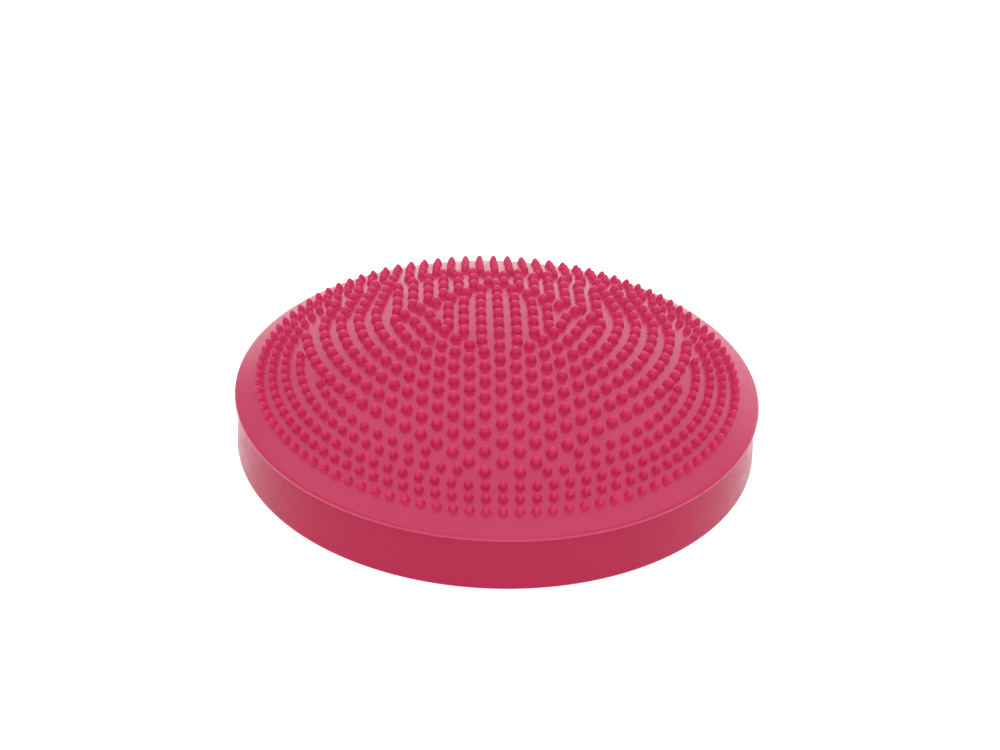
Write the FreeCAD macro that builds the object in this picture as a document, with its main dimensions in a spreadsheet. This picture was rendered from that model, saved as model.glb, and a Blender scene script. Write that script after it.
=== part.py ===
import FreeCAD, Part
import math
import os
import Sketcher
from FreeCAD import Placement, Rotation, Vector

# Inflatable balance dome: a domed PVC skin covered in moulded massage nubs, a straight
# side wall, a flat base skin with grip dots, and an air valve in the rear of the wall.
# Origin: centre of the base on the floor. +Z up, -Y to the front of the nub pattern.

doc = FreeCAD.newDocument("BalanceDome")

# ---------------------------------------------------------------- driving sizes
SIZES = [
    ("lip_radius", 165.0, "largest radius, at the rolled lip"),
    ("crown_height", 72.8, "top of the smooth skin above the floor"),
    ("dome_radius", 397.0, "radius of the spherical skin"),
    ("lip_roll", 2.0, "radius of the roll at the lip"),
    ("lip_ledge_radius", 159.5, "inner radius of the flat ledge under the lip"),
    ("skin", 2.0, "thickness of the PVC skins"),
    ("base_radius", 164.4, "outer radius of the wall on the floor"),
    ("wall_top_radius", 161.7, "outer radius of the wall under the lip"),
    ("wall_height", 33.3, "height of the side wall"),
    ("base_thick", 2.4, "thickness of the base skin"),
    ("rest_ring_radius", 141.0, "inner radius of the flat ring the base rests on"),
    ("base_recess", 1.5, "how far the base is raised inside the rest ring"),
    ("valve_height", 12.5, "valve axis above the floor"),
    ("neck_radius", 5.5, "outside of the valve seat's neck"),
    ("neck_face", 163.5, "distance of the neck's outer face from the dome's axis"),
    ("neck_end", 150.0, "distance of the neck's inner end from the dome's axis"),
    ("flange_radius", 7.5, "welding flange of the valve seat"),
    ("flange_face", 160.4, "distance of the flange's outer face from the dome's axis"),
    ("flange_thick", 1.8, "thickness of the welding flange"),
    ("mouth_radius", 2.4, "mouth of the valve, which takes the plug"),
    ("mouth_end", 159.5, "where the mouth widens to the core's bore"),
    ("core_radius", 3.2, "radius of the rubber core and of its bore"),
    ("core_end", 151.0, "distance of the core's inner end from the dome's axis"),
    ("needle_radius", 0.5, "radius of the hole for the pump needle"),
    ("needle_depth", 5.0, "depth of the hole for the pump needle"),
    ("plug_clearance", 0.05, "radial gap between the plug's shank and the mouth"),
    ("plug_head_radius", 4.6, "radius of the plug's head"),
    ("plug_head_thick", 1.3, "thickness of the plug's head"),
    ("plug_depth", 3.4, "length of the plug's shank"),
    ("big_nub_radius", 3.4, "base radius of the nubs in the middle field"),
    ("big_nub_height", 5.1, "height of the nubs in the middle field"),
    ("small_nub_radius", 2.6, "base radius of the nubs in the rings"),
    ("small_nub_height", 5.0, "height of the nubs in the rings"),
    ("nub_tip_radius", 1.6, "radius of the rounded nub tips"),
    ("nub_step", 12.0, "distance between nubs along a row"),
    ("vertex_pitch", 14.7, "distance between rows along the front axis"),
    ("side_pitch", 11.0, "distance between rows at the sides"),
    ("row_slant", 38.5, "angle of the rows to the X axis where they leave the front axis"),
    ("row_turn_radius", 153.0, "radius to which the outermost row bends"),
    ("row_straight", 50.0, "length of the outermost row before it starts to bend"),
    ("row_ease", 66.0, "length over which the bend of the outermost row builds up"),
    ("rear_slant", 36.0, "angle of the rear rows to the X axis"),
    ("rear_step", 12.2, "distance between nubs along a rear row"),
    ("rear_width", 60.0, "how far the rear rows reach to each side"),
    ("rear_radius", 108.5, "outer limit of the rear rows"),
    ("widest_place", 38.0, "distance of the field's widest place behind the dome's axis"),
    ("closing_rate", 0.002, "share by which columns close up for each mm behind it"),
    ("field_radius", 126.0, "outer limit of the middle field"),
    ("field_shift", 1.5, "how far the middle field as a whole is set back"),
    ("field_gap", 7.6, "least distance between nub centres in the middle field"),
    ("ring_gap", 6.6, "least distance of a ring nub from the middle field's nubs"),
    ("grip_dot_radius", 2.6, "radius of the grip dots under the base"),
    ("grip_dot_height", 1.2, "height of the grip dots under the base"),
]
NUB_ROWS = 9
# straight columns inside the rows: distance from the front axis, first nub, step
NUB_COLUMNS = [
    (0.0, 0.0, 12.6),
    (11.0, -8.9, 11.9),
    (22.0, 3.0, 13.8),
    (31.6, 12.5, 12.4),
]
# rear rows: where each one meets the front axis, and its first nub there or half a step off
REAR_ROWS = [
    (74.0, 0.0),
    (84.5, 0.5),
    (98.5, 0.5),
    (112.5, 0.5),
    (126.5, 0.5),
    (140.5, 0.5),
]
# ring radius, nubs in a full turn, first and last nub in degrees from the front axis
NUB_RINGS = [
    (149.3, 98, 0.0, 180.0),
    (141.0, 90, 0.0, 180.0),
    (132.9, 84, 0.0, 180.0),
    (123.8, 77, 12.1, 96.0),
    (114.8, 65, 17.4, 76.0),
    (124.6, 80, 130.5, 180.0),
    (116.2, 72, 140.0, 180.0),
    (107.8, 72, 165.0, 180.0),
]
GRIP_RINGS = [(30.0, 12), (60.0, 24), (90.0, 36), (120.0, 48)]
LEAST_CUT = 1.0  # cubic millimetres that the valve hole must take out of the wall

sheet = doc.addObject("Spreadsheet::Sheet", "Sizes")
for line, (alias, value, meaning) in enumerate(SIZES, start=1):
    sheet.set("A%d" % line, meaning)
    sheet.set("B%d" % line, str(value))
    sheet.setAlias("B%d" % line, alias)
doc.recompute()


def size(alias):
    return float(sheet.get(alias))


# ---------------------------------------------------------------- drawing helpers
def value_of(expression):
    return float(sheet.evalExpression(expression.replace("Sizes.", "")))


def origin_plane(body, role):
    return next(f for f in body.Origin.OriginFeatures if f.Role == role)


def new_body(name):
    body = doc.addObject("PartDesign::Body", name)
    body.Label = name
    return body


def new_sketch(body, name, role):
    sketch = body.newObject("Sketcher::SketchObject", name)
    sketch.AttachmentSupport = (origin_plane(body, role), [""])
    sketch.MapMode = "FlatFace"
    return sketch


def arc_between(start, end, radius, left):
    """Short arc from start to end; left says on which side of the chord its centre is."""
    chord = end - start
    middle = (start + end) * 0.5
    rise = math.sqrt(radius ** 2 - (chord.Length / 2) ** 2)
    normal = Vector(-chord.y, chord.x, 0).normalize()
    centre = middle + normal * (rise if left else -rise)
    first = math.atan2(start.y - centre.y, start.x - centre.x)
    last = math.atan2(end.y - centre.y, end.x - centre.x)
    if not left:
        first, last = last, first
    circle = Part.Circle(centre, Vector(0, 0, 1), radius)
    return Part.ArcOfCircle(circle, first, last)


def draw_outline(sketch, corners):
    """Closed outline. Each corner is (x, y) as sheet expressions, and the stretch that
    leads to the next corner is an arc where (radius, centre_on_the_left) follows."""
    points = [Vector(value_of(c[0]), value_of(c[1]), 0) for c in corners]
    count = len(corners)
    ends = []
    for index, corner in enumerate(corners):
        start = points[index]
        end = points[(index + 1) % count]
        if len(corner) == 3:
            radius, left = corner[2]
            edge = sketch.addGeometry(arc_between(start, end, value_of(radius), left), False)
            ends.append((edge, 1, 2) if left else (edge, 2, 1))
        else:
            edge = sketch.addGeometry(Part.LineSegment(start, end), False)
            ends.append((edge, 1, 2))
    for index in range(count):
        edge, first, last = ends[index]
        following, next_first, next_last = ends[(index + 1) % count]
        sketch.addConstraint(Sketcher.Constraint("Coincident", edge, last, following, next_first))
    for index, corner in enumerate(corners):
        edge, first, last = ends[index]
        for kind, expression, coordinate in (("DistanceX", corner[0], points[index].x),
                                             ("DistanceY", corner[1], points[index].y)):
            place = sketch.addConstraint(
                Sketcher.Constraint(kind, -1, 1, edge, first, coordinate))
            sketch.setExpression("Constraints[%d]" % place, expression)
        if len(corner) == 3:
            radius = corner[2][0]
            place = sketch.addConstraint(Sketcher.Constraint("Radius", edge, value_of(radius)))
            sketch.setExpression("Constraints[%d]" % place, radius)


def revolved_body(name, corners):
    """A body turned about its own Z axis from an outline of radius and height."""
    body = new_body(name)
    sketch = new_sketch(body, name + "_section", "XZ_Plane")
    draw_outline(sketch, corners)
    turn = body.newObject("PartDesign::Revolution", name + "_turn")
    turn.Profile = sketch
    turn.ReferenceAxis = (sketch, ["V_Axis"])
    turn.Angle = 360
    body.Tip = turn
    return body


def point_to_rear(body):
    """Lays a valve part's own Z axis along +Y at the height of the valve."""
    body.Placement = Placement(Vector(0, 0, size("valve_height")), Rotation(Vector(1, 0, 0), -90))
    body.setExpression("Placement.Base.z", "Sizes.valve_height")


# ---------------------------------------------------------------- skins and wall
def make_top_membrane():
    """Domed skin: a spherical shell that rolls over a small lip onto a flat ledge."""
    centre = "(Sizes.crown_height - Sizes.dome_radius)"
    roll_radius = "(Sizes.lip_radius - Sizes.lip_roll)"
    roll_rise = "sqrt((Sizes.dome_radius - Sizes.lip_roll) ^ 2 - %s ^ 2)" % roll_radius
    lip_height = "(%s + %s)" % (centre, roll_rise)
    ledge_height = "(%s - Sizes.lip_roll)" % lip_height
    outward = "Sizes.dome_radius / (Sizes.dome_radius - Sizes.lip_roll)"
    roll_start = "(%s * %s)" % (roll_radius, outward)
    start_height = "(%s + %s * %s)" % (centre, roll_rise, outward)
    inner = "(Sizes.dome_radius - Sizes.skin)"
    inner_edge = "(%s + sqrt(%s ^ 2 - Sizes.lip_ledge_radius ^ 2))" % (centre, inner)
    return revolved_body("top_membrane", [
        ("Sizes.lip_ledge_radius", ledge_height),
        (roll_radius, ledge_height, ("Sizes.lip_roll", True)),
        ("Sizes.lip_radius", lip_height, ("Sizes.lip_roll", True)),
        (roll_start, start_height, ("Sizes.dome_radius", True)),
        ("0", "Sizes.crown_height"),
        ("0", "Sizes.crown_height - Sizes.skin", (inner, False)),
        ("Sizes.lip_ledge_radius", inner_edge),
    ])


def make_side_wall():
    """Straight wall that leans in slightly towards the lip, pierced for the valve."""
    body = revolved_body("side_wall", [
        ("Sizes.base_radius - Sizes.skin", "0"),
        ("Sizes.base_radius", "0"),
        ("Sizes.wall_top_radius", "Sizes.wall_height"),
        ("Sizes.wall_top_radius - Sizes.skin", "Sizes.wall_height"),
    ])
    doc.recompute()
    whole_volume = body.Shape.Volume
    sketch = new_sketch(body, "valve_hole_section", "XZ_Plane")
    circle = Part.Circle(Vector(0, size("valve_height"), 0), Vector(0, 0, 1), size("neck_radius"))
    sketch.addGeometry(circle, False)
    sketch.addConstraint(Sketcher.Constraint("PointOnObject", 0, 3, -2))
    height = sketch.addConstraint(
        Sketcher.Constraint("DistanceY", -1, 1, 0, 3, size("valve_height")))
    sketch.setExpression("Constraints[%d]" % height, "Sizes.valve_height")
    radius = sketch.addConstraint(Sketcher.Constraint("Radius", 0, size("neck_radius")))
    sketch.setExpression("Constraints[%d]" % radius, "Sizes.neck_radius")
    hole = body.newObject("PartDesign::Pocket", "valve_hole")
    hole.Profile = sketch
    hole.Length = size("lip_radius")
    hole.setExpression("Length", "Sizes.lip_radius")
    body.Tip = hole
    doc.recompute()
    if body.Shape.Volume >= whole_volume - LEAST_CUT:
        raise RuntimeError("the valve hole missed the wall")
    if body.Shape.BoundBox.YMin > -size("wall_top_radius"):
        raise RuntimeError("the valve hole also cut the front of the wall")
    return body


def make_bottom_membrane():
    """Base skin: a flat ring on the floor round a slightly raised middle panel."""
    slope = "((Sizes.base_radius - Sizes.wall_top_radius) / Sizes.wall_height)"
    edge = "Sizes.base_radius - Sizes.skin"
    step = "Sizes.rest_ring_radius - Sizes.base_recess"
    return revolved_body("bottom_membrane", [
        ("0", "Sizes.base_recess"),
        (step, "Sizes.base_recess"),
        ("Sizes.rest_ring_radius", "0"),
        (edge, "0"),
        ("%s - %s * Sizes.base_thick" % (edge, slope), "Sizes.base_thick"),
        ("Sizes.rest_ring_radius", "Sizes.base_thick"),
        (step, "Sizes.base_recess + Sizes.base_thick"),
        ("0", "Sizes.base_recess + Sizes.base_thick"),
    ])


# ---------------------------------------------------------------- air valve
def make_valve_seat():
    """Neck through the wall, with a welding flange behind it and a stepped bore."""
    flange_back = "Sizes.flange_face - Sizes.flange_thick"
    body = revolved_body("valve_seat", [
        ("Sizes.core_radius", "Sizes.neck_end"),
        ("Sizes.neck_radius", "Sizes.neck_end"),
        ("Sizes.neck_radius", flange_back),
        ("Sizes.flange_radius", flange_back),
        ("Sizes.flange_radius", "Sizes.flange_face"),
        ("Sizes.neck_radius", "Sizes.flange_face"),
        ("Sizes.neck_radius", "Sizes.neck_face"),
        ("Sizes.mouth_radius", "Sizes.neck_face"),
        ("Sizes.mouth_radius", "Sizes.mouth_end"),
        ("Sizes.core_radius", "Sizes.mouth_end"),
    ])
    point_to_rear(body)
    return body


def make_valve_core():
    """Self-sealing rubber core with a blind hole that guides the pump needle."""
    hole_end = "Sizes.mouth_end - Sizes.needle_depth"
    body = revolved_body("valve_core", [
        ("0", "Sizes.core_end"),
        ("Sizes.core_radius", "Sizes.core_end"),
        ("Sizes.core_radius", "Sizes.mouth_end"),
        ("Sizes.needle_radius", "Sizes.mouth_end"),
        ("Sizes.needle_radius", hole_end),
        ("0", hole_end),
    ])
    point_to_rear(body)
    return body


def make_valve_plug():
    """Push-in stopper: a flat head on a short shank."""
    shank = "Sizes.mouth_radius - Sizes.plug_clearance"
    tip = "Sizes.neck_face - Sizes.plug_depth"
    head = "Sizes.neck_face + Sizes.plug_head_thick"
    body = revolved_body("valve_plug", [
        ("0", tip),
        (shank, tip),
        (shank, "Sizes.neck_face"),
        ("Sizes.plug_head_radius", "Sizes.neck_face"),
        ("Sizes.plug_head_radius", head),
        ("0", head),
    ])
    point_to_rear(body)
    return body


# ---------------------------------------------------------------- nubs
def far_enough(point, others, gap):
    return all(math.dist(point, other) >= gap for other in others)


def closing(x, y):
    """Columns close up a little behind the widest place of the field."""
    behind = max(0.0, y - size("widest_place"))
    return x * (1 - size("closing_rate") * behind)


def row_path(row):
    """The line that a row follows on the +X side, in steps of about one millimetre. Row 9
    is the outermost. It leaves the front axis in a straight slant, bends until it runs
    along +Y, and closes up a little to the rear. The other rows run parallel to it."""
    slant = size("row_slant")
    front_pitch = size("vertex_pitch") * math.cos(math.radians(slant))
    x, y = 0.0, -NUB_ROWS * size("vertex_pitch")
    heading = slant
    travelled = 0
    path = []
    while heading < 90:
        turned = (heading - slant) / (90 - slant)
        pitch = front_pitch + (size("side_pitch") - front_pitch) * turned
        inward = pitch * (NUB_ROWS - row)
        angle = math.radians(heading)
        path.append((x - inward * math.sin(angle), y + inward * math.cos(angle)))
        bend = min(max((travelled - size("row_straight")) / size("row_ease"), 0), 1)
        heading += math.degrees(bend / size("row_turn_radius"))
        x += math.cos(math.radians(heading))
        y += math.sin(math.radians(heading))
        travelled += 1
    side_x, side_y = path[-1]
    rear = math.ceil(size("field_radius") - side_y)
    path += [(closing(side_x, side_y + run), side_y + run) for run in range(1, rear)]
    return [point for point in path if point[0] >= 0]


def nub_row(row):
    """Nubs at even steps along one row, from its nub on the front axis."""
    last = (0.0, -row * size("vertex_pitch"))
    nubs = [last]
    run = 0.0
    for point in row_path(row):
        run += math.dist(point, last)
        last = point
        if run >= size("nub_step"):
            run -= size("nub_step")
            nubs.append(point)
    return nubs


def nub_column(x, first, step):
    """A straight column of nubs, from its first nub to the rear of the field."""
    count = int((size("field_radius") - first) / step) + 1
    heights = [first + step * index for index in range(count)]
    return [(closing(x, y), y) for y in heights]


def rear_row(height, first):
    """Nubs of one rear row, which slants forward from the axis to the side."""
    slant = math.radians(size("rear_slant"))
    count = int(size("rear_width") / size("rear_step") / math.cos(slant)) + 1
    runs = [(first + index) * size("rear_step") for index in range(count)]
    nubs = [(run * math.cos(slant), height - run * math.sin(slant)) for run in runs]
    return [nub for nub in nubs if math.hypot(*nub) <= size("rear_radius")]


def before_rear_rows(x, y):
    """Whether a place lies in front of the first rear row, or beside the rear rows."""
    first_height = REAR_ROWS[0][0]
    line = first_height - x * math.tan(math.radians(size("rear_slant")))
    return x > size("rear_width") or y < line


def field_places():
    """Nub centres of the middle field, the same on both sides of the front axis."""
    front = []
    for column in NUB_COLUMNS:
        front += nub_column(*column)
    for row in range(1, NUB_ROWS + 1):
        front += nub_row(row)
    half = []
    for rear in REAR_ROWS:
        half += rear_row(*rear)
    half += [place for place in front if before_rear_rows(*place)]
    places = []
    for x, forward_y in half:
        y = forward_y + size("field_shift")
        inside = math.hypot(x, y) <= size("field_radius")
        if inside and far_enough((x, y), places, size("field_gap")):
            places.append((x, y))
            if x > 0:
                places.append((-x, y))
    return places


def ring_places(field):
    """Nub centres of the rings, which fill the space between the field and the margin."""
    places = []
    for radius, count, first, last in NUB_RINGS:
        for index in range(count):
            angle = first + 360 * index / count
            if angle > last:
                break
            x = radius * math.sin(math.radians(angle))
            y = -radius * math.cos(math.radians(angle))
            places.append((x, y))
            if 0 < angle < 180:
                places.append((-x, y))
    return [place for place in places if far_enough(place, field, size("ring_gap"))]


def nub_solid(radius, height):
    """A cone with a rounded tip, standing on the XY plane."""
    tip = size("nub_tip_radius")
    slope = math.atan2(radius - tip, height - tip)
    edge_radius = tip * math.cos(slope)
    edge_height = height - tip + tip * math.sin(slope)
    foot = Vector(radius, 0, 0)
    edge = Vector(edge_radius, 0, edge_height)
    crest = Vector(0, 0, height)
    middle_angle = (slope + math.pi / 2) / 2
    middle = Vector(tip * math.cos(middle_angle), 0, height - tip + tip * math.sin(middle_angle))
    outline = Part.Wire([
        Part.makeLine(Vector(0, 0, 0), foot),
        Part.makeLine(foot, edge),
        Part.Arc(edge, middle, crest).toShape(),
        Part.makeLine(crest, Vector(0, 0, 0)),
    ])
    return Part.Face(outline).revolve(Vector(0, 0, 0), Vector(0, 0, 1), 360)


def nub_group(name, places, radius, height):
    """Separate nubs that stand square on the dome, as one group."""
    dome_centre = Vector(0, 0, size("crown_height") - size("dome_radius"))
    nub = nub_solid(radius, height)
    solids = []
    for x, y in places:
        rise = math.sqrt(size("dome_radius") ** 2 - x ** 2 - y ** 2)
        outward = Vector(x, y, rise)
        copy = nub.copy()
        copy.Placement = Placement(dome_centre + outward, Rotation(Vector(0, 0, 1), outward))
        solids.append(copy)
    group = doc.addObject("Part::Feature", name)
    group.Label = name
    group.Shape = Part.makeCompound(solids)
    return group


def make_grip_dots():
    """Low round dots under the raised panel, in rings that end just above the floor."""
    radius = size("grip_dot_radius")
    height = size("grip_dot_height")
    ball = (radius ** 2 + height ** 2) / (2 * height)
    sphere = Part.makeSphere(ball, Vector(0, 0, ball - height))
    below = Part.makeBox(4 * ball, 4 * ball, 4 * ball, Vector(-2 * ball, -2 * ball, -4 * ball))
    dot = sphere.common(below)
    solids = []
    for ring_radius, count in GRIP_RINGS:
        for index in range(count):
            angle = 2 * math.pi * index / count
            copy = dot.copy()
            copy.Placement = Placement(
                Vector(ring_radius * math.cos(angle), ring_radius * math.sin(angle),
                       size("base_recess")), Rotation())
            solids.append(copy)
    group = doc.addObject("Part::Feature", "grip_dots")
    group.Label = "grip_dots"
    group.Shape = Part.makeCompound(solids)
    return group


# ---------------------------------------------------------------- build and write
field = field_places()
rings = ring_places(field)
parts = [
    make_top_membrane(),
    nub_group("field_nubs", field, size("big_nub_radius"), size("big_nub_height")),
    nub_group("ring_nubs", rings, size("small_nub_radius"), size("small_nub_height")),
    make_side_wall(),
    make_bottom_membrane(),
    make_grip_dots(),
    make_valve_seat(),
    make_valve_core(),
    make_valve_plug(),
]
doc.recompute()

for item in doc.Objects:
    if "Invalid" in item.State or "Error" in item.State:
        raise RuntimeError("%s did not rebuild: %s" % (item.Label, item.State))
for part in parts:
    if part.Shape.isNull() or not part.Shape.isValid():
        raise RuntimeError("%s has no valid shape" % part.Label)

os.makedirs("parts", exist_ok=True)
for part in parts:
    part.Shape.exportStep("parts/%s.step" % part.Label)
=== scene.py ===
import math

import bmesh
import bpy
import numpy as np
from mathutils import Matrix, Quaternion, Vector


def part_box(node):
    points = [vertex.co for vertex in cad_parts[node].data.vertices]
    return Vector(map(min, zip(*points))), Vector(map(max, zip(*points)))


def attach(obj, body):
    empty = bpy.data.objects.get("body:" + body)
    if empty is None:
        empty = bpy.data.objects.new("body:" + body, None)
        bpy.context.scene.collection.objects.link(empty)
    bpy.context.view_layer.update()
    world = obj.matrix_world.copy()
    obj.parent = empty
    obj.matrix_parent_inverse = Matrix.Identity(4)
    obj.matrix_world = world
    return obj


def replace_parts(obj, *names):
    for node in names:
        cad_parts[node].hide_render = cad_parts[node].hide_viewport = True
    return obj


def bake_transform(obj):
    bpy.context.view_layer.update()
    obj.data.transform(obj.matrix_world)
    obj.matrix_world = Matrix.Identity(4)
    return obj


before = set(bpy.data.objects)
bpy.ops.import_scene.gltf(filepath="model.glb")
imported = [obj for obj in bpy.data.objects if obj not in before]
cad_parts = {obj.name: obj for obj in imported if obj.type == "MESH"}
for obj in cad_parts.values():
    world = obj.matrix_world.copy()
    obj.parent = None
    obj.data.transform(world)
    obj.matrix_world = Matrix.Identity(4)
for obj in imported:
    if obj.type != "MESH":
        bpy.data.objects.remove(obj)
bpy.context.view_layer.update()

# The object's lengths are in millimetres, as on the part's drawing, and MM turns them into
# metres. The camera, the floor and the lights are in metres.
MM = 0.001

# ---------------------------------------------------------------- sizes from the frame
skin_low, skin_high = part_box("top_membrane")
wall_low, wall_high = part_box("side_wall")
plug_low, plug_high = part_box("valve_plug")

LIP_RADIUS = skin_high.x / MM
CROWN_HEIGHT = skin_high.z / MM
LEDGE_HEIGHT = skin_low.z / MM
BASE_RADIUS = wall_high.x / MM
VALVE_HEIGHT = (plug_low.z + plug_high.z) / 2 / MM

# ---------------------------------------------------------------- sizes of the skins
DOME_RADIUS = 397.0
DOME_CENTRE = CROWN_HEIGHT - DOME_RADIUS
LIP_ROLL = 2.0
LEDGE_RADIUS = 159.5
SKIN = 2.0
WALL_TOP_RADIUS = 161.7
WALL_BULGE = 0.35
WALL_CORNER = 1.3
WALL_WELD = 0.4
REST_RING_RADIUS = 141.0
BASE_THICK = 2.4
BASE_RECESS = 1.5
PANEL_EASE = 1.2
TURN_STEPS = 360

# ---------------------------------------------------------------- sizes of the nubs
NUB_SIDES = 18
NUB_FLARE = 0.3
NUB_SINK = 0.25
NUB_TAPER = 0.1
NUB_TURNS = (9, 20, 32, 44, 56, 67, 77, 85, 90)  # degrees from the foot to the tip
BIG_NUB = {"radius": 3.5, "height": 5.1, "point": 0.7}
SMALL_NUB = {"radius": 2.7, "height": 5.0, "point": 0.95}
NUB_STEP = 12.0
NUB_ROWS = 9
VERTEX_PITCH = 14.7
SIDE_PITCH = 11.0
ROW_SLANT = 38.5
ROW_STRAIGHT = 50.0
ROW_EASE = 66.0
ROW_TURN_RADIUS = 153.0
REAR_SLANT = 36.0
REAR_STEP = 12.2
REAR_WIDTH = 60.0
REAR_RADIUS = 108.5
WIDEST_PLACE = 38.0
CLOSING_RATE = 0.002
FIELD_RADIUS = 126.0
FIELD_SHIFT = 1.5
FIELD_GAP = 7.6
RING_GAP = 6.6
# straight columns inside the rows: distance from the front axis, first nub, step
NUB_COLUMNS = [
    (0.0, 0.0, 12.6),
    (11.0, -8.9, 11.9),
    (22.0, 3.0, 13.8),
    (31.6, 12.5, 12.4),
]
# rear rows: where each one meets the front axis, and its first nub there or half a step off
REAR_ROWS = [
    (74.0, 0.0),
    (84.5, 0.5),
    (98.5, 0.5),
    (112.5, 0.5),
    (126.5, 0.5),
    (140.5, 0.5),
]
# ring radius, nubs in a full turn, first and last nub in degrees from the front axis
NUB_RINGS = [
    (149.3, 98, 0.0, 180.0),
    (141.0, 90, 0.0, 180.0),
    (132.9, 84, 0.0, 180.0),
    (123.8, 77, 12.1, 96.0),
    (114.8, 65, 17.4, 76.0),
    (124.6, 80, 130.5, 180.0),
    (116.2, 72, 140.0, 180.0),
    (107.8, 72, 165.0, 180.0),
]
GRIP_RINGS = [(30.0, 12), (60.0, 24), (90.0, 36), (120.0, 48)]
GRIP_DOT = {"radius": 2.6, "height": 1.2, "skirt": 0.3, "sink": 0.15}
GRIP_SIDES = 20


# ---------------------------------------------------------------- mesh helpers
def arc(centre, radius, first, last, steps):
    """Points of an arc in the plane of radius and height; angles in degrees."""
    angles = np.radians(np.linspace(first, last, steps + 1))
    return [(centre[0] + radius * math.cos(a), centre[1] + radius * math.sin(a)) for a in angles]


def straight(start, end, steps):
    """Points between two places, without the two ends."""
    shares = np.linspace(0, 1, steps + 1)[1:-1]
    return [(start[0] + (end[0] - start[0]) * s, start[1] + (end[1] - start[1]) * s)
            for s in shares]


def new_object(name, places, faces):
    """A smooth-shaded mesh object from places in millimetres."""
    mesh = bpy.data.meshes.new(name)
    mesh.from_pydata([tuple(p) for p in np.asarray(places) * MM], [], faces)
    mesh.validate()
    clean = bmesh.new()
    clean.from_mesh(mesh)
    bmesh.ops.remove_doubles(clean, verts=clean.verts, dist=1e-7)
    bmesh.ops.recalc_face_normals(clean, faces=clean.faces)
    clean.to_mesh(mesh)
    clean.free()
    mesh.shade_smooth()
    piece = bpy.data.objects.new(name, mesh)
    bpy.context.scene.collection.objects.link(piece)
    return piece


def turned_places(outline, steps):
    """Every point of an outline of radius and height, at each step of a full turn."""
    outline = np.asarray(outline, float)
    angles = np.arange(steps) * 2 * math.pi / steps
    radius, height = outline[:, 0], outline[:, 1]
    x = np.outer(np.cos(angles), radius)
    y = np.outer(np.sin(angles), radius)
    z = np.outer(np.ones(steps), height)
    return np.stack([x, y, z], axis=2).reshape(-1, 3)


def turned_faces(count, steps, closed):
    """Faces between neighbouring points of a turned outline; closed joins its two ends."""
    faces = []
    last = count if closed else count - 1
    for step in range(steps):
        here = step * count
        there = (step + 1) % steps * count
        for index in range(last):
            following = (index + 1) % count
            faces.append((here + index, there + index, there + following, here + following))
    return faces


def lathe(name, outline, steps=TURN_STEPS):
    """A turned piece. Points on the axis close up to one when the mesh is cleaned."""
    return new_object(name, turned_places(outline, steps),
                      turned_faces(len(outline), steps, True))


def point_to_rear(piece):
    """Lays a valve piece's own Z axis along +Y at the height of the valve."""
    for vertex in piece.data.vertices:
        x, y, z = vertex.co
        vertex.co = (x, z, VALVE_HEIGHT * MM - y)
    return piece


def many(name, outline, steps, places, centre=None):
    """Copies of one turned shape in one mesh. Each stands at its place, square on the
    sphere about centre, or upright where no centre is given."""
    one = turned_places(outline, steps)
    one_faces = np.array(turned_faces(len(outline), steps, False))
    all_places = []
    all_faces = []
    for index, place in enumerate(places):
        place = Vector(place)
        if centre is None:
            turn = Quaternion()
        else:
            turn = (place - Vector(centre)).to_track_quat("Z", "Y")
        matrix = np.array(turn.to_matrix())
        all_places.append(one @ matrix.T + np.array(place))
        all_faces.append(one_faces + index * len(one))
    return new_object(name, np.concatenate(all_places), np.concatenate(all_faces).tolist())


# ---------------------------------------------------------------- places of the nubs
def far_enough(point, others, gap):
    """Whether a point keeps at least the gap from all the others."""
    return all(math.dist(point, other) >= gap for other in others)


def closing(x, y):
    """Columns close up a little behind the widest place of the field."""
    return x * (1 - CLOSING_RATE * max(0.0, y - WIDEST_PLACE))


def row_path(row):
    """The line that a row follows on the +X side, in steps of about one millimetre. Row 9
    is the outermost. It leaves the front axis in a straight slant, bends until it runs
    along +Y, and closes up a little to the rear. The other rows run parallel to it."""
    front_pitch = VERTEX_PITCH * math.cos(math.radians(ROW_SLANT))
    x, y = 0.0, -NUB_ROWS * VERTEX_PITCH
    heading = ROW_SLANT
    travelled = 0
    path = []
    while heading < 90:
        turned = (heading - ROW_SLANT) / (90 - ROW_SLANT)
        pitch = front_pitch + (SIDE_PITCH - front_pitch) * turned
        inward = pitch * (NUB_ROWS - row)
        angle = math.radians(heading)
        path.append((x - inward * math.sin(angle), y + inward * math.cos(angle)))
        bend = min(max((travelled - ROW_STRAIGHT) / ROW_EASE, 0), 1)
        heading += math.degrees(bend / ROW_TURN_RADIUS)
        x += math.cos(math.radians(heading))
        y += math.sin(math.radians(heading))
        travelled += 1
    side_x, side_y = path[-1]
    rear = math.ceil(FIELD_RADIUS - side_y)
    path += [(closing(side_x, side_y + run), side_y + run) for run in range(1, rear)]
    return [point for point in path if point[0] >= 0]


def nub_row(row):
    """Nubs at even steps along one row, from its nub on the front axis."""
    last = (0.0, -row * VERTEX_PITCH)
    nubs = [last]
    run = 0.0
    for point in row_path(row):
        run += math.dist(point, last)
        last = point
        if run >= NUB_STEP:
            run -= NUB_STEP
            nubs.append(point)
    return nubs


def nub_column(x, first, step):
    """A straight column of nubs, from its first nub to the rear of the field."""
    count = int((FIELD_RADIUS - first) / step) + 1
    return [(closing(x, first + step * index), first + step * index) for index in range(count)]


def rear_row(height, first):
    """Nubs of one rear row, which slants forward from the axis to the side."""
    slant = math.radians(REAR_SLANT)
    count = int(REAR_WIDTH / REAR_STEP / math.cos(slant)) + 1
    runs = [(first + index) * REAR_STEP for index in range(count)]
    nubs = [(run * math.cos(slant), height - run * math.sin(slant)) for run in runs]
    return [nub for nub in nubs if math.hypot(*nub) <= REAR_RADIUS]


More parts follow.
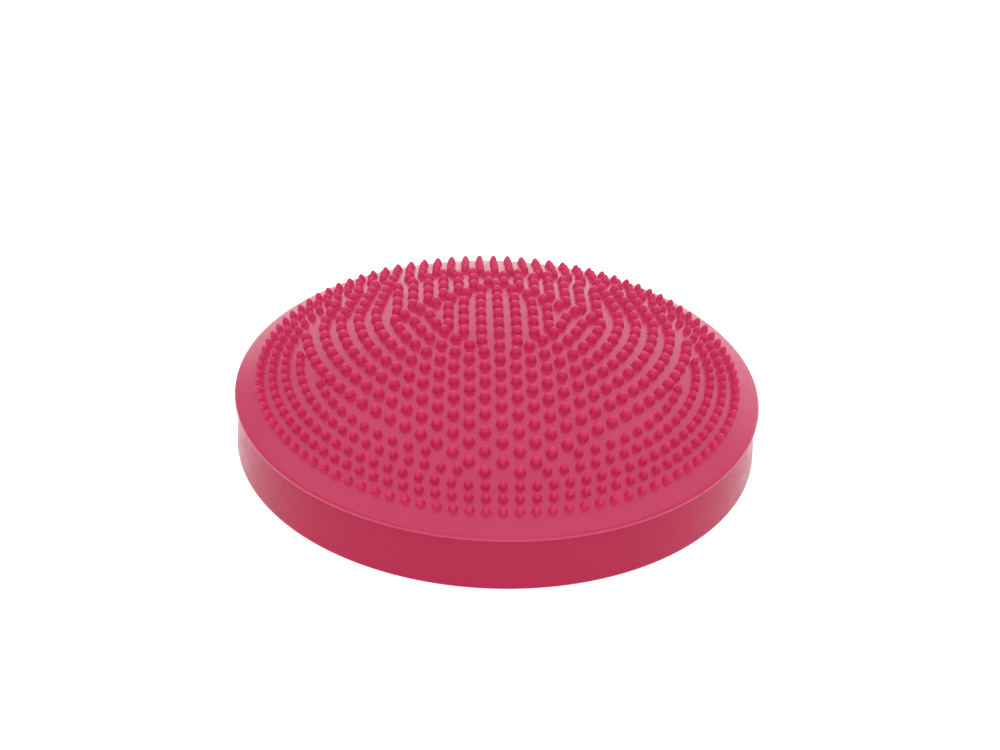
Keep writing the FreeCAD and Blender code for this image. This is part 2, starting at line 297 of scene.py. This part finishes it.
def before_rear_rows(x, y):
    """Whether a place lies in front of the first rear row, or beside the rear rows."""
    first_height = REAR_ROWS[0][0]
    line = first_height - x * math.tan(math.radians(REAR_SLANT))
    return x > REAR_WIDTH or y < line


def field_places():
    """Nub centres of the middle field, the same on both sides of the front axis."""
    front = []
    for column in NUB_COLUMNS:
        front += nub_column(*column)
    for row in range(1, NUB_ROWS + 1):
        front += nub_row(row)
    half = []
    for rear in REAR_ROWS:
        half += rear_row(*rear)
    half += [place for place in front if before_rear_rows(*place)]
    places = []
    for x, forward_y in half:
        y = forward_y + FIELD_SHIFT
        if math.hypot(x, y) <= FIELD_RADIUS and far_enough((x, y), places, FIELD_GAP):
            places.append((x, y))
            if x > 0:
                places.append((-x, y))
    return places


def ring_places(field):
    """Nub centres of the rings, which fill the space between the field and the margin."""
    places = []
    for radius, count, first, last in NUB_RINGS:
        for index in range(count):
            angle = first + 360 * index / count
            if angle > last:
                break
            x = radius * math.sin(math.radians(angle))
            y = -radius * math.cos(math.radians(angle))
            places.append((x, y))
            if 0 < angle < 180:
                places.append((-x, y))
    return [place for place in places if far_enough(place, field, RING_GAP)]


def on_dome(places):
    """The same places, raised onto the dome."""
    return [(x, y, DOME_CENTRE + math.sqrt(DOME_RADIUS ** 2 - x ** 2 - y ** 2))
            for x, y in places]


def nub_outline(radius, height, point):
    """A full, bullet-shaped nub that runs out into the skin in a soft root. It starts
    under the skin, so that no gap shows round it. A higher point gives a slimmer tip."""
    root = [(0, -NUB_SINK), (radius + NUB_FLARE, -NUB_SINK)]
    root += arc((radius + NUB_FLARE, NUB_FLARE), NUB_FLARE, -90, -180, 2)[:2]
    side = []
    for turn in NUB_TURNS:
        angle = math.radians(turn)
        rise = height * math.sin(angle)
        taper = 1 - NUB_TAPER * rise / height
        side.append((radius * taper * abs(math.cos(angle)) ** point, rise))
    return root + side


# ---------------------------------------------------------------- skins and wall
def make_top_skin():
    """Domed skin that rolls over the lip onto a ledge, and its inner face."""
    roll_centre = (LIP_RADIUS - LIP_ROLL, LEDGE_HEIGHT + LIP_ROLL)
    lip_angle = math.degrees(math.acos((LIP_RADIUS - LIP_ROLL) / (DOME_RADIUS - LIP_ROLL)))
    inner_radius = DOME_RADIUS - SKIN
    inner_angle = math.degrees(math.acos(LEDGE_RADIUS / inner_radius))
    outline = arc((0, DOME_CENTRE), DOME_RADIUS, 90, lip_angle, 72)
    outline += arc(roll_centre, LIP_ROLL, lip_angle, -90, 10)[1:]
    outline += straight(outline[-1], (LEDGE_RADIUS, LEDGE_HEIGHT), 3)
    outline += [(LEDGE_RADIUS, LEDGE_HEIGHT)]
    outline += arc((0, DOME_CENTRE), inner_radius, inner_angle, 90, 30)
    return lathe("top_skin", outline)


def wall_radius(height):
    """Outside of the wall: it leans in towards the lip and swells very slightly."""
    share = height / LEDGE_HEIGHT
    lean = BASE_RADIUS + (WALL_TOP_RADIUS - BASE_RADIUS) * share
    return lean + WALL_BULGE * math.sin(math.pi * share)


def make_side_wall():
    """Wall with a small round at the floor, welded to the ledge under the lip."""
    top = LEDGE_HEIGHT + WALL_WELD
    heights = np.linspace(WALL_CORNER, top, 26)
    corner = (wall_radius(WALL_CORNER) - WALL_CORNER, WALL_CORNER)
    outline = arc(corner, WALL_CORNER, -90, 0, 5)[:-1]
    outline += [(wall_radius(z), z) for z in heights]
    outline += [(wall_radius(z) - SKIN, z) for z in heights[::-1][::3]]
    outline += [(BASE_RADIUS - SKIN, 0.0)]
    return lathe("side_wall_skin", outline, 2 * TURN_STEPS)


def cut_valve_hole(wall, radius):
    """Opens the wall at the rear for the valve."""
    bpy.ops.mesh.primitive_cylinder_add(vertices=VALVE_SIDES, radius=radius * MM, depth=40 * MM)
    cutter = bpy.context.object
    cutter.rotation_euler = (math.pi / 2, 0, 0)
    cutter.location = (0, BASE_RADIUS * MM, VALVE_HEIGHT * MM)
    bpy.context.view_layer.update()
    hole = wall.modifiers.new("valve_hole", "BOOLEAN")
    hole.operation = "DIFFERENCE"
    hole.solver = "EXACT"
    hole.object = cutter
    graph = bpy.context.evaluated_depsgraph_get()
    cut = bpy.data.meshes.new_from_object(wall.evaluated_get(graph))
    wall.modifiers.clear()
    wall.data = cut
    bpy.data.objects.remove(cutter)
    cut.shade_smooth()
    cut.set_sharp_from_angle(angle=math.radians(40))


def make_base_skin():
    """Flat ring on the floor round a raised middle panel, with a soft step between them."""
    edge = BASE_RADIUS - SKIN
    panel_edge = REST_RING_RADIUS - BASE_RECESS
    inner = panel_edge - PANEL_EASE
    outer = REST_RING_RADIUS + PANEL_EASE
    step = [(inner + (outer - inner) * share, BASE_RECESS * (1 + math.cos(math.pi * share)) / 2)
            for share in np.linspace(0, 1, 9)]
    outline = [(0, BASE_RECESS)] + straight((0, BASE_RECESS), step[0], 14) + step
    outline += straight(step[-1], (edge, 0.0), 3) + [(edge, 0.0), (edge, BASE_THICK)]
    outline += [(REST_RING_RADIUS, BASE_THICK), (panel_edge, BASE_RECESS + BASE_THICK)]
    outline += [(0, BASE_RECESS + BASE_THICK)]
    return lathe("base_skin", outline)


def make_grip_dots():
    """Low round dots under the raised panel."""
    radius, height = GRIP_DOT["radius"], GRIP_DOT["height"]
    ball = (radius ** 2 + height ** 2) / (2 * height)
    half = math.degrees(math.asin(radius / ball))
    dome = arc((0, ball - height), ball, -90, half - 90, 6)
    outline = dome + [(radius + GRIP_DOT["skirt"], GRIP_DOT["sink"]), (0, GRIP_DOT["sink"])]
    places = []
    for ring_radius, count in GRIP_RINGS:
        for index in range(count):
            angle = 2 * math.pi * index / count
            places.append((ring_radius * math.cos(angle), ring_radius * math.sin(angle),
                           BASE_RECESS))
    return many("grip_dots_moulded", outline, GRIP_SIDES, places)


# ---------------------------------------------------------------- air valve
# Distances along the valve are from the dome's axis.
NECK = {"radius": 5.5, "face": 163.5, "end": 150.0, "mouth": 2.4, "mouth_end": 159.5,
        "rim": 0.4, "lead_in": 0.5}
FLANGE = {"radius": 7.5, "face": 160.4, "thick": 1.8}
CORE = {"radius": 3.2, "end": 151.0, "hole": 0.5, "hole_depth": 5.0, "dish": 0.9, "throat": 0.6}
PLUG = {"radius": 4.6, "head": 1.3, "shank": 3.4, "clearance": 0.05,
        "rim": 0.45, "tip": 0.5, "dimple": 1.7, "dimple_depth": 0.25}
VALVE_SIDES = 64
CORE_SIDES = 48


def make_valve_seat():
    """Neck with a rounded rim and mouth, and a welding flange behind its face."""
    outer, face, mouth = NECK["radius"], NECK["face"], NECK["mouth"]
    rim, lead_in = NECK["rim"], NECK["lead_in"]
    back = FLANGE["face"] - FLANGE["thick"]
    outline = [(CORE["radius"], NECK["end"]), (outer, NECK["end"]), (outer, back)]
    outline += [(FLANGE["radius"], back), (FLANGE["radius"], FLANGE["face"])]
    outline += [(outer, FLANGE["face"])]
    outline += arc((outer - rim, face - rim), rim, 0, 90, 4)
    outline += arc((mouth + lead_in, face - lead_in), lead_in, 90, 180, 3)
    outline += [(mouth, NECK["mouth_end"]), (CORE["radius"], NECK["mouth_end"])]
    return point_to_rear(lathe("valve_seat_neck", outline, VALVE_SIDES))


def make_valve_core():
    """Rubber core, dished round the hole for the pump needle."""
    face, hole, dish, throat = NECK["mouth_end"], CORE["hole"], CORE["dish"], CORE["throat"]
    outline = [(0, CORE["end"]), (CORE["radius"], CORE["end"]), (CORE["radius"], face)]
    outline += [(NECK["mouth"], face), (hole + dish, face)]
    outline += [(hole + dish / 3, face - throat / 2), (hole, face - throat)]
    outline += [(hole, face - CORE["hole_depth"]), (0, face - CORE["hole_depth"])]
    return point_to_rear(lathe("valve_core_rubber", outline, CORE_SIDES))


def make_valve_plug():
    """Stopper: a low head with a rounded edge and a dimple, and a round-ended shank."""
    shank = NECK["mouth"] - PLUG["clearance"]
    top = NECK["face"] + PLUG["head"]
    end = NECK["face"] - PLUG["shank"]
    rim, tip, dimple, depth = PLUG["rim"], PLUG["tip"], PLUG["dimple"], PLUG["dimple_depth"]
    outline = [(0, end)] + arc((shank - tip, end + tip), tip, -90, 0, 3)
    outline += [(shank, NECK["face"]), (PLUG["radius"], NECK["face"])]
    outline += arc((PLUG["radius"] - rim, top - rim), rim, 0, 90, 5)
    outline += [(dimple, top), (dimple * 0.7, top - depth / 2), (0, top - depth)]
    return point_to_rear(lathe("valve_stopper_plug", outline, VALVE_SIDES))


# ---------------------------------------------------------------- materials
# scale and detail of the noise in the tone, the gloss and the skin texture
CLOUD = (22, 4)
SMEAR = (130, 2)
PEEL = (420, 1)
PEEL_DEPTH = 0.05


def noise(tree, place, scale, detail):
    """Noise fixed to the piece itself; its factor output."""
    texture = tree.nodes.new("ShaderNodeTexNoise")
    texture.inputs["Scale"].default_value = scale
    texture.inputs["Detail"].default_value = detail
    tree.links.new(place.outputs["Object"], texture.inputs["Vector"])
    return texture.outputs["Fac"]


def moulded(name, colour, tint, roughness, grain, subsurface=0.0, sheen=0.0, specular=0.5):
    """Moulded PVC or rubber: cloudy tone, uneven gloss and a fine skin texture."""
    material = bpy.data.materials.new(name)
    material.use_nodes = True
    tree = material.node_tree
    shader = tree.nodes["Principled BSDF"]
    place = tree.nodes.new("ShaderNodeTexCoord")

    mix = tree.nodes.new("ShaderNodeMix")
    mix.data_type = "RGBA"
    mix.inputs["A"].default_value = (*colour, 1)
    mix.inputs["B"].default_value = (*tint, 1)
    tree.links.new(noise(tree, place, *CLOUD), mix.inputs["Factor"])
    tree.links.new(mix.outputs["Result"], shader.inputs["Base Color"])

    gloss = tree.nodes.new("ShaderNodeMapRange")
    gloss.inputs["From Min"].default_value = 0.3
    gloss.inputs["From Max"].default_value = 0.7
    gloss.inputs["To Min"].default_value = roughness - 0.05
    gloss.inputs["To Max"].default_value = roughness + 0.07
    tree.links.new(noise(tree, place, *SMEAR), gloss.inputs["Value"])
    tree.links.new(gloss.outputs["Result"], shader.inputs["Roughness"])

    bump = tree.nodes.new("ShaderNodeBump")
    bump.inputs["Strength"].default_value = grain
    bump.inputs["Distance"].default_value = PEEL_DEPTH * MM
    tree.links.new(noise(tree, place, *PEEL), bump.inputs["Height"])
    tree.links.new(bump.outputs["Normal"], shader.inputs["Normal"])

    shader.inputs["IOR"].default_value = 1.52
    shader.inputs["Specular IOR Level"].default_value = specular
    shader.inputs["Subsurface Weight"].default_value = subsurface
    shader.inputs["Subsurface Radius"].default_value = (1.0, 0.12, 0.25)
    shader.inputs["Subsurface Scale"].default_value = 2.0 * MM
    shader.inputs["Sheen Weight"].default_value = sheen
    shader.inputs["Sheen Roughness"].default_value = 0.4
    return material


def dress(piece, material, body):
    """Gives a piece its material and slot, and lets it ride on a body if one is named."""
    piece.data.materials.clear()
    piece.data.materials.append(material)
    if body:
        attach(piece, body)
    return piece


# ---------------------------------------------------------------- camera, floor, light
def make_camera():
    """Looks down on the front of the dome, tilted a little, as from a hand-held camera."""
    azimuth, elevation = math.radians(-2.34), math.radians(33.08)
    distance = 1.348
    data = bpy.data.cameras.new("camera")
    data.lens = 75.6
    data.shift_x = 0.0045
    data.shift_y = 0.059
    camera = bpy.data.objects.new("camera", data)
    bpy.context.scene.collection.objects.link(camera)
    camera.location = (distance * math.sin(azimuth) * math.cos(elevation),
                       -distance * math.cos(azimuth) * math.cos(elevation),
                       distance * math.sin(elevation))
    roll = Quaternion((0, 0, 1), math.radians(2.21))
    camera.rotation_mode = "QUATERNION"
    camera.rotation_quaternion = (-camera.location).to_track_quat("-Z", "Y") @ roll
    bpy.context.scene.camera = camera


def make_floor():
    """Pale floor that glows a little, so that it stays white right up to the dome."""
    bpy.ops.mesh.primitive_plane_add(size=12, location=(0, 0, -0.1 * MM))
    floor = bpy.context.object
    floor.name = "floor"
    material = bpy.data.materials.new("pale_floor")
    material.use_nodes = True
    shader = material.node_tree.nodes["Principled BSDF"]
    shader.inputs["Base Color"].default_value = (0.5, 0.5, 0.5, 1)
    shader.inputs["Roughness"].default_value = 0.7
    shader.inputs["Specular IOR Level"].default_value = 0.2
    shader.inputs["Emission Color"].default_value = (1, 1, 1, 1)
    shader.inputs["Emission Strength"].default_value = 0.85
    floor.data.materials.append(material)


def make_softbox(name, place, aim, width, depth, power):
    """A soft rectangular light in metres and watts, turned towards its aim."""
    data = bpy.data.lights.new(name, "AREA")
    data.shape = "RECTANGLE"
    data.size = width
    data.size_y = depth
    data.energy = power
    box = bpy.data.objects.new(name, data)
    bpy.context.scene.collection.objects.link(box)
    box.location = place
    box.rotation_mode = "QUATERNION"
    box.rotation_quaternion = (Vector(aim) - Vector(place)).to_track_quat("-Z", "Y")


def make_light():
    """Even white surroundings, a wide light overhead, one behind and a weak one in front."""
    world = bpy.data.worlds.new("studio")
    world.use_nodes = True
    background = world.node_tree.nodes["Background"]
    background.inputs["Color"].default_value = (1, 1, 1, 1)
    background.inputs["Strength"].default_value = 0.56
    bpy.context.scene.world = world
    make_softbox("overhead", (0, 0.5, 1.6), (0, 0.5, 0), 3.0, 3.2, 20)
    make_softbox("backdrop", (0.6, 2.6, 0.9), (0, 0, 0.9), 4.5, 1.8, 20)
    make_softbox("front", (0, -1.7, 1.1), (0, 0, 0), 2.4, 1.2, 5)
    bpy.context.scene.view_settings.view_transform = "Standard"


# ---------------------------------------------------------------- put it together
make_camera()
make_floor()
make_light()

skin_pvc = moulded("skin_pvc", (0.57, 0.013, 0.094), (0.60, 0.019, 0.104), 0.30, 0.08,
                   sheen=0.04, specular=0.46)
# The nubs are moulded in one PVC with the skin. Their lighter, redder colour is painted fill
# light, which lightens their shaded sides.
nub_pvc_painted_fill = moulded("nub_pvc_painted_fill", (0.68, 0.027, 0.134), (0.71, 0.033, 0.146), 0.42, 0.05,
                  subsurface=0.2, specular=0.28)
# The wall is the same PVC as the top skin. Its darker colour is painted shade, which holds back
# the light that the glowing floor throws onto it. The valve seat shares it.
wall_pvc_painted_shade = moulded("wall_pvc_painted_shade", (0.44, 0.003, 0.054), (0.46, 0.006, 0.060), 0.26, 0.05,
                   specular=0.25)
base_pvc = moulded("base_pvc", (0.47, 0.006, 0.058), (0.50, 0.010, 0.066), 0.45, 0.3)
stopper_pvc = moulded("stopper_pvc", (0.46, 0.006, 0.056), (0.49, 0.010, 0.062), 0.34, 0.2)
rubber = moulded("black_rubber", (0.020, 0.020, 0.022), (0.032, 0.032, 0.034), 0.62, 0.8)

top_skin = dress(make_top_skin(), skin_pvc, "top")
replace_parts(top_skin, "top_membrane")

field = field_places()
field_nubs = many("field_nubs_moulded", nub_outline(**BIG_NUB), NUB_SIDES, on_dome(field),
                  (0, 0, DOME_CENTRE))
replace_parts(dress(field_nubs, nub_pvc_painted_fill, "top"), "field_nubs")

ring_nubs = many("ring_nubs_moulded", nub_outline(**SMALL_NUB), NUB_SIDES,
                 on_dome(ring_places(field)), (0, 0, DOME_CENTRE))
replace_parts(dress(ring_nubs, nub_pvc_painted_fill, "top"), "ring_nubs")

side_wall = make_side_wall()
cut_valve_hole(side_wall, NECK["radius"])
dress(side_wall, wall_pvc_painted_shade, None)
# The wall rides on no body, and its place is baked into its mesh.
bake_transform(side_wall)
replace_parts(side_wall, "side_wall")

base_skin = dress(make_base_skin(), base_pvc, "base")
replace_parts(base_skin, "bottom_membrane")
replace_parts(dress(make_grip_dots(), base_pvc, "base"), "grip_dots")

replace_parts(dress(make_valve_seat(), wall_pvc_painted_shade, "base"), "valve_seat")
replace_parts(dress(make_valve_core(), rubber, "base"), "valve_core")
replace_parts(dress(make_valve_plug(), stopper_pvc, "plug"), "valve_plug")
